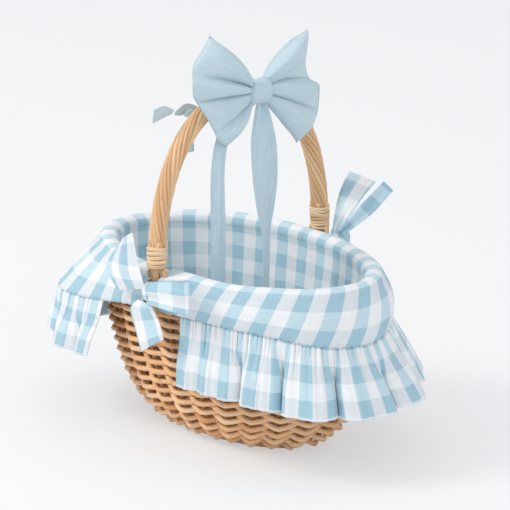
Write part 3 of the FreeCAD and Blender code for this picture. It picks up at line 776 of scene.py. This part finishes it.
def make_cuff(name, node, start, end, closing, flare, drawn):
    """Cloth over the border; over the crest it closes up to the handle's foot at both ends.

    Gives the places along the seam with the ruffle.
    """
    columns = 230
    rows = []

    def share_at(step, j):
        near = 1 - ease((step - 9) / 5)
        before, after = closing[0] / ROUND * near, closing[1] / ROUND * near
        return start - before + (end - start + before + after) * j / columns
    for step in range(len(PROFILE)):
        rows.append([tie_pinch(cuff_place(share_at(step, j), step, flare, drawn), 24 * MM)
                     for j in range(columns + 1)])
    maker = MeshMaker()

    def uv(i, j):
        run = PROFILE[i][2]
        return (share_at(i, j) * ROUND + CUFF_SKEW * max(run, 0.0), run + CUFF_SHIFT)
    maker.grid(rows, uv)
    piece = maker.build(name, GINGHAM, node, thickness=0.8 * MM)
    return rows[-1]


def make_liner():
    maker = MeshMaker()
    columns = 240
    top = CUFF_START + 0.3 * MM
    levels = [LINER_FLOOR + (top - LINER_FLOOR) * (i / 34) ** 1.25 for i in range(35)]
    rows = [[liner_place(j / columns, z) for j in range(columns)] for z in levels]
    depth = travelled([liner_place(0.25, z) for z in levels[::-1]])[::-1]
    maker.grid(rows, lambda i, j: (ROUND * j / columns, PROFILE[3][2] + CUFF_SHIFT - depth[i] * 1.18),
               closed_columns=True)
    floor_rows = []
    for k in range(13):
        reach = 1 - k / 12.5
        floor_rows.append([Vector((p.x * reach, p.y * reach, LINER_FLOOR + 0.4 * MM * sin(k)))
                           for p in rows[0]])
    first = len(maker.faces)
    maker.grid(floor_rows, lambda i, j: (0, 0), closed_columns=True)
    for k in range(first, len(maker.faces)):
        maker.uvs[k] = [(maker.points[v].x, maker.points[v].y) for v in maker.faces[k]]
    piece = maker.build("liner", GINGHAM, "liner_bowl")


# ---- ruffle ----

def valley(place, width):
    """A narrow dip once in every 1 of place: 0 between them and 1 at the bottom."""
    part = place - math.floor(place) - 0.5
    return math.exp(-(part / width) ** 2)


def fold_places(length, seed):
    """(place, depth, start) of the deep folds along a ruffle, unevenly spaced."""
    folds = []
    at = 66 * MM
    while at < length - 12 * MM:
        uneven = ripple(len(folds) * 1.7 + 0.4, 1.0, seed)
        folds.append((at, (16 + 4 * uneven) * MM, max(0.0, 0.12 - 0.3 * uneven)))
        at += (45 + 10 * uneven) * MM
    return folds


def hitch(angle):
    """The hem is caught up at the tied corner of the back, and stays short up to its end there."""
    turn = math.degrees(angle) % 360
    return (20 * math.exp(-((turn - 206) / 16) ** 2) + 13 * ease((turn - 208) / 16) * (turn < 270)) * MM


def make_ruffle(name, node, seam_row, flare_at, seed):
    """Gathered cloth below the seam: tight gathers at the top, then broad panels and deep folds."""
    arc = travelled(seam_row)
    folds = fold_places(arc[-1], seed)
    count = int(arc[-1] / (0.5 * MM))
    depth_steps = 30
    shares = [(i / depth_steps) ** 1.15 for i in range(depth_steps + 1)]
    rows = []
    for s in shares:
        row = []
        for j in range(count + 1):
            place = j / count * (len(seam_row) - 1)
            low = min(int(place), len(seam_row) - 2)
            seam = seam_row[low].lerp(seam_row[low + 1], place - low)
            run = arc[low] + (arc[low + 1] - arc[low]) * (place - low)
            angle = math.atan2(seam.y / RIM_WIDTH, seam.x / RIM_LENGTH)
            ahead = Vector((-RIM_LENGTH * sin(angle), RIM_WIDTH * cos(angle), 0)).normalized()
            level = Vector((ahead.y, -ahead.x, 0))
            flare = flare_at(angle)
            drop = math.sqrt(RUFFLE_DEPTH ** 2 - flare ** 2)
            tight = run / (4.7 * MM) + 0.9 * ripple(run, 45, seed)
            chance = min(max(0.5 + 1.3 * noise.noise(Vector((math.floor(tight) * 1.37, seed, 2.2))), 0.0), 1.0)
            reach = 0.10 + 0.65 * chance ** 2.2
            gather = -valley(tight, 0.17) * (1.3 + 1.5 * chance) * MM * (1 - ease((s - 0.02) / reach))
            at, deep, start = min(folds, key=lambda fold: abs(fold[0] - run))
            away = (run - at) / MM
            open_share = ease((s - start) / (0.75 - start))
            dip = math.exp(-(away / 5.2) ** 2)
            bulge = 1 - math.exp(-(away / 13.0) ** 2)
            curl = -6.2 * MM * (away / 6.0) * math.exp(-(away / 8.0) ** 2) * open_share
            lean = 3.0 * MM * dip * open_share
            gentle = 1.6 * MM * sin(tau * run / (27 * MM) + seed + 2 * ripple(run, 15, seed)) * s
            out = flare * s ** 1.1 + gather + deep * open_share * (0.26 * bulge - dip) + gentle
            lift = (1.6 * MM * ripple(run, 20, seed + 5) + hitch(angle)) * s
            tuck = 2.2 * MM * (1 - ease(s * 16))
            point = seam + level * (out - tuck) + ahead * (curl + lean)
            point.z -= drop * s - 1.8 * MM * (1 - s) - lift + 2.5 * MM * dip * s
            row.append(point)
        rows.append(row)
    lengths = travelled(rows[int(depth_steps * 0.7)])
    maker = MeshMaker()
    maker.grid(rows, lambda i, j: (lengths[j] + 0.3 * seed, RUFFLE_FIRST_CHECK + RUFFLE_DEPTH * shares[i]))
    piece = maker.build(name, RUFFLE_GINGHAM, node, thickness=0.6 * MM)


def front_ruffle_flare(angle):
    side = 17 - 14 * ease(-sin(angle) * 1.3)
    return (side + (32 - side) * cos(angle) ** 2) * MM


def back_ruffle_flare(angle):
    return (16 - 10 * back_peak(angle % (tau))) * MM


def make_skirt():
    """The cuff and ruffle of both halves."""
    at_left, at_right = 10.5 * MM, 15.6 * MM     # how far a cuff closes up at each of the handle's feet
    seam = make_cuff("front_cuff", "cuff_front", -0.25 + SLOT_SHARE, 0.25 - SLOT_SHARE, (at_left, at_right),
                     front_flare, front_drawn)
    first = next(k for k, place in enumerate(seam) if place.x > 1.5 * SLOT_SHARE * ROUND)
    make_ruffle("front_ruffle", "ruffle_front", seam[first:], front_ruffle_flare, 1)
    seam = make_cuff("back_cuff", "cuff_back", 0.25 + SLOT_SHARE, 0.75 - SLOT_SHARE, (at_right, at_left),
                     back_flare, back_drawn)
    last = int(len(seam) * 0.83)
    make_ruffle("back_ruffle", "ruffle_back", seam[:last + 1], back_ruffle_flare, 4)


# ---- strips of cloth: tie ends, tails and ribbon ends ----

def cloth_strip(controls, widths, across, folds, depth, seed, rows=28, columns=16):
    """Rows of points along a curve; the cloth is gathered at its start and opens to its end.

    controls are the curve's points, widths one width for each of them, and across the direction of
    the width. folds counts the folds across, and depth is how deep they are at the start.
    """
    last = len(controls) - 1
    values = [Vector((w, 0, 0)) for w in widths]
    axes = across if isinstance(across, list) else [across] * len(controls)
    grid = []
    for i in range(rows + 1):
        place = last * i / rows
        middle = hermite(controls, place, False)
        ahead = (hermite(controls, min(place + 0.02, last), False)
                 - hermite(controls, max(place - 0.02, 0), False)).normalized()
        side = hermite(axes, place, False)
        side = (side - ahead * side.dot(ahead)).normalized()
        face = side.cross(ahead).normalized()
        width = max(hermite(values, place, False).x, 1 * MM)
        share = i / rows
        row = []
        for j in range(columns + 1):
            t = j / columns - 0.5
            wave = cos(tau * folds * t + seed) * (1 - share) ** 1.3 * depth
            soft = 0.5 * depth * ripple(t * 2 + share * 1.4, 1.6, seed)
            row.append(middle + side * (t * width) + face * (wave + soft))
        grid.append(row)
    return grid


def strip_piece(name, node, grid, flat, material, body="basket", thickness=0.8 * MM,
                shift=(0.0, 0.0)):
    """A sheet from rows of points; shift moves the pattern on it, not its place."""
    maker = MeshMaker()
    height, width = len(grid) - 1, len(grid[0]) - 1
    maker.grid(grid, lambda i, j: (shift[0] + flat[0] * j / width, shift[1] + flat[1] * i / height))
    piece = maker.build(name, material, node, body, thickness)
    smooth = piece.modifiers.new("smooth", "SUBSURF")
    smooth.levels = smooth.render_levels = 1


def wrapped_knot(name, node, material, turns, seed, along_x=False, shift=(0, 0, 0), scale=(1, 1, 1)):
    """A band of cloth wound round into a knot: a soft barrel with folds round it."""
    low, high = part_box(node)
    middle = (low + high) / 2 + Vector(shift) * MM
    half = (high - low) / 2 * Vector(scale)
    maker = MeshMaker()
    rows = []
    steps, columns = 20, 40
    for i in range(steps + 1):
        t = i / steps * 2 - 1
        edge = math.sqrt(max(0.0, 1 - abs(t) ** 6))
        row = []
        for j in range(columns):
            turn = tau * j / columns
            crease = 1 + 0.06 * sin(t * pi * turns + 0.8 * sin(turn + seed)) * edge
            pinch = 1 + 0.05 * sin(3 * turn + seed)
            reach = max(edge, 0.28) * crease * pinch
            c, s = cos(turn), sin(turn)
            c, s = math.copysign(abs(c) ** 0.85, c), math.copysign(abs(s) ** 0.85, s)
            if along_x:
                row.append(middle + Vector((half.x * t, half.y * 1.04 * reach * c, half.z * 1.3 * reach * s)))
            else:
                row.append(middle + Vector((half.x * 1.04 * reach * c, half.y * 1.02 * t, half.z * 1.02 * reach * s)))
        rows.append(row)
    maker.grid(rows, lambda i, j: (0.0016 * i, 0.004 * j), closed_columns=True)
    for row_start in (0, steps * columns):
        maker.cap(row_start, columns, (0.01, 0.01))
    piece = maker.build(name, material, node)


# ---- bow ----

BOW = middle_of("bow_knot") + Vector((0, -3.3 * MM, 5.4 * MM))


def along_polyline(points, share):
    """A point a share of the way along a polyline, smoothed."""
    travel = travelled(points)
    return hermite(points, index_at(travel, share * travel[-1]), False)


def puffs(q, creases):
    """Rounded lobes between sharp creases: 0 in a crease and 1 in the middle of a lobe."""
    stops = [0.0] + creases + [1.0]
    for a, b in zip(stops, stops[1:]):
        if q <= b:
            t = ((q - a) / (b - a)) ** 0.7
            return math.sqrt(max(0.0, 4 * t * (1 - t)))
    return 0.0


def bow_loop(name, node, outline, top_bulge, creases, seed):
    """One loop: a wide band, gathered at the knot, that turns back at the outline's outer edge.

    outline gives the outer edge from its top corner to its lowest, as places across and up from the
    middle of the knot, in millimetres; creases says how far down that edge each crease ends.
    """
    sign = math.copysign(1, outline[0][0])
    edge = [Vector((0, y * MM, z * MM)) for y, z in outline]
    flow = 26
    wide = 66
    rows = []
    for layer in (1, -1):
        steps = range(flow + 1) if layer > 0 else range(flow - 1, -1, -1)
        for i in steps:
            s = i / flow
            row = []
            for j in range(wide + 1):
                q = j / wide
                root = Vector((0, sign * 8.0 * MM - 3.5 * MM, (0.5 - q) * 19 * MM))
                tip = along_polyline(edge, q)
                point = root.lerp(tip, s)
                point.z += sin(pi * s ** 0.75) * top_bulge * (1 - q) ** 2 * MM
                swell = sin(pi * s ** 0.8) ** 0.6 * (0.75 + 0.25 * s)
                roll = math.sqrt(max(0.0, 1 - s ** 8))
                puff = puffs(q, creases) * (1 + 0.25 * sin(5 * q + seed))
                lean = 2.4 * MM * sin(tau * (1.2 * q + 0.1 * seed)) * ease(s * 1.5) * roll
                fine = sin(tau * 9 * q + seed * 2) * 0.8 * MM * (1 - s) ** 2.5
                wobble = 1.5 * MM * noise.noise(Vector((q * 3, s * 3, seed + 0.4))) * ease(s * 3) * roll
                thick = (0.25 + (14.5 if layer > 0 else 4.0) * puff * swell) * MM
                point = BOW + point
                point.x += layer * (thick + fine) * roll + lean + wobble
                row.append(point)
            rows.append(row)
    maker = MeshMaker()
    maker.grid(rows, lambda i, j: (0.11 * j / wide, 0.08 * i / flow))
    piece = maker.build(name, BOW_CLOTH, node, thickness=0.7 * MM)


def bow_tail(name, node, body, controls, widths, across, **how):
    grid = cloth_strip(controls, [w * MM for w in widths], [Vector(a) for a in across], **how)
    strip_piece(name, node, grid, (23 * MM, 0.185), BOW_CLOTH, body)


def make_bow():
    wrapped_knot("bow_knot_wrap", "bow_knot", BOW_CLOTH, turns=0.6, seed=1.0,
                 shift=(3.0, -6.8, 5.6), scale=(0.75, 1.32, 0.98))
    bow_loop("bow_loop_a", "bow_loop_left",
             [(-59, 58), (-67, 48), (-77, 38), (-79, 30), (-79, 19.5), (-78.5, 10), (-74, 2), (-64, -11),
              (-55, -25), (-49, -36), (-41, -43)],
             top_bulge=3, creases=[0.30, 0.53, 0.84], seed=1)
    bow_loop("bow_loop_b", "bow_loop_right",
             [(57.5, 44), (55, 28), (56, 8.5), (60, -1), (71, -8), (72.5, -16), (70, -34), (62.5, -46), (45, -56)],
             top_bulge=9, creases=[0.385, 0.70], seed=2)
    low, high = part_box("bow_tail_left")
    x = (low.x + high.x) / 2
    controls = [spot(x, BOW.y, BOW.z, -3, -5, -10), spot(x, BOW.y, high.z, -8, -32, -14),
                spot(x, low.y, high.z, -6, 10, -46), spot(x, low.y, high.z, -1, 5, -93),
                spot(x, low.y, high.z, 1, 3, -138), spot(x, low.y, low.z, 0, 4, 1)]
    bow_tail("bow_end_a", "bow_tail_left", "tail_left", controls, [7, 13, 19, 23, 24, 24],
             [(0.1, 1, 0), (0.1, 1, 0), (-0.1, 1, 0), (-0.2, 1, 0), (-0.24, 1, 0), (-0.24, 1, 0)],
             folds=1.5, depth=2.2 * MM, seed=3)
    low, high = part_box("bow_tail_right")
    x = (low.x + high.x) / 2
    y = (low.y + high.y) / 2
    controls = [spot(x, BOW.y, BOW.z, -1, 3, -9), spot(x, y, high.z, 1, -8, -24), spot(x, y, high.z, 1, -6, -52),
                spot(x, y, high.z, 0, -3.5, -88), spot(x, y, high.z, 0, -2.5, -118), spot(x, y, low.z, 0, -3.5, 1)]
    bow_tail("bow_end_b", "bow_tail_right", "tail_right", controls, [9, 22, 24, 24, 23, 22],
             [(0.2, 1, 0), (0.35, 0.94, 0), (0.3, 0.95, 0), (-0.16, 0.99, 0), (-0.545, 0.84, 0), (-0.545, 0.84, 0)],
             folds=1.2, depth=2.4 * MM, seed=5)


# ---- ties ----

def cloth_patch(left, right, bulge, rows=26, columns=22):
    """Rows of points between two edges, given as places in millimetres from the left knot's middle."""
    edges = [[KNOT + Vector(p) * MM for p in edge] for edge in (left, right)]
    grid = []
    for i in range(rows + 1):
        a, b = (hermite(edge, (len(edge) - 1) * i / rows, False) for edge in edges)
        row = []
        for j in range(columns + 1):
            t = j / columns
            point = a.lerp(b, t)
            point.y -= bulge * MM * sin(pi * t) + 0.9 * MM * ripple(t * 1.7 + i / rows, 1.5, 3)
            row.append(point)
        grid.append(row)
    return grid


def make_ties():
    wrapped_knot("left_knot", "left_tie_knot", GINGHAM, turns=0.5, seed=0.4, along_x=True,
                 shift=(-1.5, 3, 2), scale=(0.6, 0.8, 0.9))
    low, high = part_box("left_tie_loop")
    y = (low.y + high.y) / 2
    z = (low.z + high.z) / 2
    out = high.x - low.x
    front = [spot(low.x, y, z, -6, -2.5), spot(low.x + out * 0.3, y, z, 0, -4.5, 3.5),
             spot(low.x + out * 0.75, y, z, 0, -4.5, 6), spot(high.x, y, z, 0, -1.0, 7)]
    back = [Vector((p.x, y + (y - p.y) * 0.6, p.z)) for p in front[::-1]]
    wide = [18 * MM, 23 * MM, 27 * MM, 29 * MM]
    grid = cloth_strip(front + back[1:], wide + wide[::-1][1:], Vector((0.05, 0, 1)), folds=1.5, depth=1.4 * MM,
                       seed=2, rows=44)
    strip_piece("left_loop", "left_tie_loop", grid, (30 * MM, 0.1), GINGHAM,
                shift=(7 * MM, 0.0))
    grid = cloth_patch([(-42, 4, -6), (-56, 5, 14), (-31, 0, 42)], [(0, -1.5, 6), (-4.5, -3.5, 22), (-15.5, -2, 53)],
                       bulge=4)
    strip_piece("left_end_up", "left_tie_upper", grid, (45 * MM, 0.05), GINGHAM,
                shift=(4 * MM, 0.0))
    grid = cloth_patch([(-10, 0, -6), (-19, -1.5, -16), (-13, -2, -34), (-6, -3, -53)],
                       [(5, 0, -7), (11, -1.5, -12), (18, -2, -21), (24, -3, -34)], bulge=2.5)
    strip_piece("left_end_down", "left_tie_tail", grid, (31 * MM, 0.046), GINGHAM,
                "tie_tail", shift=(10 * MM, 17 * MM))
    wrapped_knot("right_knot", "right_tie_knot", GINGHAM, turns=1.6, seed=2.0, along_x=True)
    # The places are in millimetres from the low and high corners of the node's box.
    for name, node, from_low, from_high, bend, widths, across, depth, seed, flat in (
            ("right_end_a", "right_tie_tail_a", (7, 2, 0), (-1, -1, -12), (0, -2, 3), (8, 22, 29),
             (1, 0.1, -0.25), 2.2, 7, (27 * MM, 0.052)),
            ("right_end_b", "right_tie_tail_b", (6, 2, 0), (-4, -1, -2), (1, 2, 0), (7, 13, 12),
             (0.75, 0.6, -0.5), 1.6, 9, (13 * MM, 0.062))):
        low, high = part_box(node)
        start, end = spot(*low, *from_low), spot(*high, *from_high)
        middle = start.lerp(end, 0.5) + spot(0, 0, 0, *bend)
        grid = cloth_strip([start, middle, end], [w * MM for w in widths], Vector(across), folds=1.5,
                           depth=depth * MM, seed=seed)
        strip_piece(name, node, grid, flat, GINGHAM)


def make_ribbon():
    plain_nodes(["ribbon_band"], RIBBON)
    wrapped_knot("ribbon_knot_wrap", "ribbon_knot", RIBBON, turns=1.2, seed=1.2,
                 scale=(0.7, 0.7, 0.7))
    # The low and high corners of each node's box are moved by these millimetres first.
    for node, name, low_by, high_by in (
            ("ribbon_loop", "ribbon_bight", (0, 11, 2), (0, 15, -2)),
            ("ribbon_tail_left", "ribbon_end_a", (0, 10, 5), (0, 10, 5)),
            ("ribbon_tail_right", "ribbon_end_b", (0, 0, 0), (0, 0, 0))):
        low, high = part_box(node)
        low, high = low + spot(0, 0, 0, *low_by), high + spot(0, 0, 0, *high_by)
        x, y, z = (low + high) / 2
        size = high - low
        if size.z > size.y:
            controls = [spot(x, y, high.z), spot(x, y, z, -1.5), spot(x, y, low.z)]
            across, wide, long = Vector((0.2, 1, 0)), size.y, size.z
        else:
            controls = [spot(x, high.y, z), spot(x, y, z, -1.5, 0, 1), spot(x, low.y, z)]
            across, wide, long = Vector((0.2, 0, 1)), size.z, size.y
        ends = [wide * 0.35, wide, wide * 0.3] if node == "ribbon_loop" else [wide * 0.3, wide, wide]
        grid = cloth_strip(controls, ends, across, folds=1.0, depth=0.8 * MM, seed=len(name), rows=14, columns=8)
        strip_piece(name, node, grid, (wide, long), RIBBON, thickness=0.4 * MM)


# ---- stage, light and camera ----

CAMERA_AZIMUTH = math.radians(45.8)
CAMERA_ELEVATION = math.radians(17.6)
CAMERA_DISTANCE = 3.43
CAMERA_LENS = 276.0
AIM_RIGHT = 0.0132
AIM_UP = 0.0351


def make_camera():
    back = Vector((sin(CAMERA_AZIMUTH) * cos(CAMERA_ELEVATION),
                   -cos(CAMERA_AZIMUTH) * cos(CAMERA_ELEVATION), sin(CAMERA_ELEVATION)))
    right = UP.cross(back).normalized()
    up = back.cross(right)
    middle = Vector((0, 0, 0.120)) + right * AIM_RIGHT + up * AIM_UP
    camera = add_object("camera", bpy.data.cameras.new("camera"))
    camera.data.lens = CAMERA_LENS
    camera.data.sensor_width = 36
    camera.data.clip_end = 50
    aim(camera, middle + back * CAMERA_DISTANCE, -back)
    bpy.context.scene.camera = camera


def make_stage():
    mesh = bpy.data.meshes.new("floor")
    reach = 12.0
    mesh.from_pydata([(-reach, -reach, 0), (reach, -reach, 0), (reach, reach, 0), (-reach, reach, 0)],
                     [], [(0, 1, 2, 3)])
    n = Nodes("floor")
    n.surface((0.88, 0.89, 0.90, 1), 0.9)
    paper = n.tree.nodes.new("ShaderNodeEmission")
    paper.inputs["Color"].default_value = (0.97, 0.985, 1.0, 1)
    seen = n.tree.nodes.new("ShaderNodeLightPath")
    blend = n.tree.nodes.new("ShaderNodeMixShader")
    n.link(n.math("MULTIPLY", seen.outputs["Is Camera Ray"], 0.5), blend.inputs[0])
    n.link(n.shader.outputs[0], blend.inputs[1])
    n.link(paper.outputs[0], blend.inputs[2])
    n.link(blend.outputs[0], n.tree.nodes["Material Output"].inputs["Surface"])
    mesh.materials.append(n.material)
    add_object("floor", mesh)
    world = bpy.data.worlds.new("world")
    world.use_nodes = True
    world.node_tree.nodes["Background"].inputs[0].default_value = (0.95, 0.97, 1.0, 1)
    world.node_tree.nodes["Background"].inputs[1].default_value = 0.75
    bpy.context.scene.world = world


def area_light(name, place, size, power, color):
    data = bpy.data.lights.new(name, "AREA")
    data.size = size
    data.energy = power
    data.color = color
    aim(add_object(name, data), place, Vector((0, 0, 0.15)) - Vector(place))


make_camera()
make_stage()
area_light("key", (-1.2, -1.6, 1.9), size=1.0, power=29.5, color=(1.0, 0.98, 0.95))
area_light("fill", (2.2, -0.6, 1.2), size=1.8, power=9, color=(0.95, 0.97, 1.0))
bpy.context.scene.view_settings.view_transform = "Standard"

make_weave()
make_stakes()
make_handle()
plain_nodes(["base_sticks", "base_weave", "foot_ring", "rim_border"], WILLOW)
make_binding("handle_binding_left", side=-1, turns=5, seed=1)
make_binding("handle_binding_right", side=1, turns=8, seed=2, lower=7 * MM, shorter=13 * MM)
make_foot_rods("handle_foot_rods_left", seed=130)
make_foot_rods("handle_foot_rods_right", seed=140)
make_liner()
make_skirt()
make_bow()
make_ties()
make_ribbon()
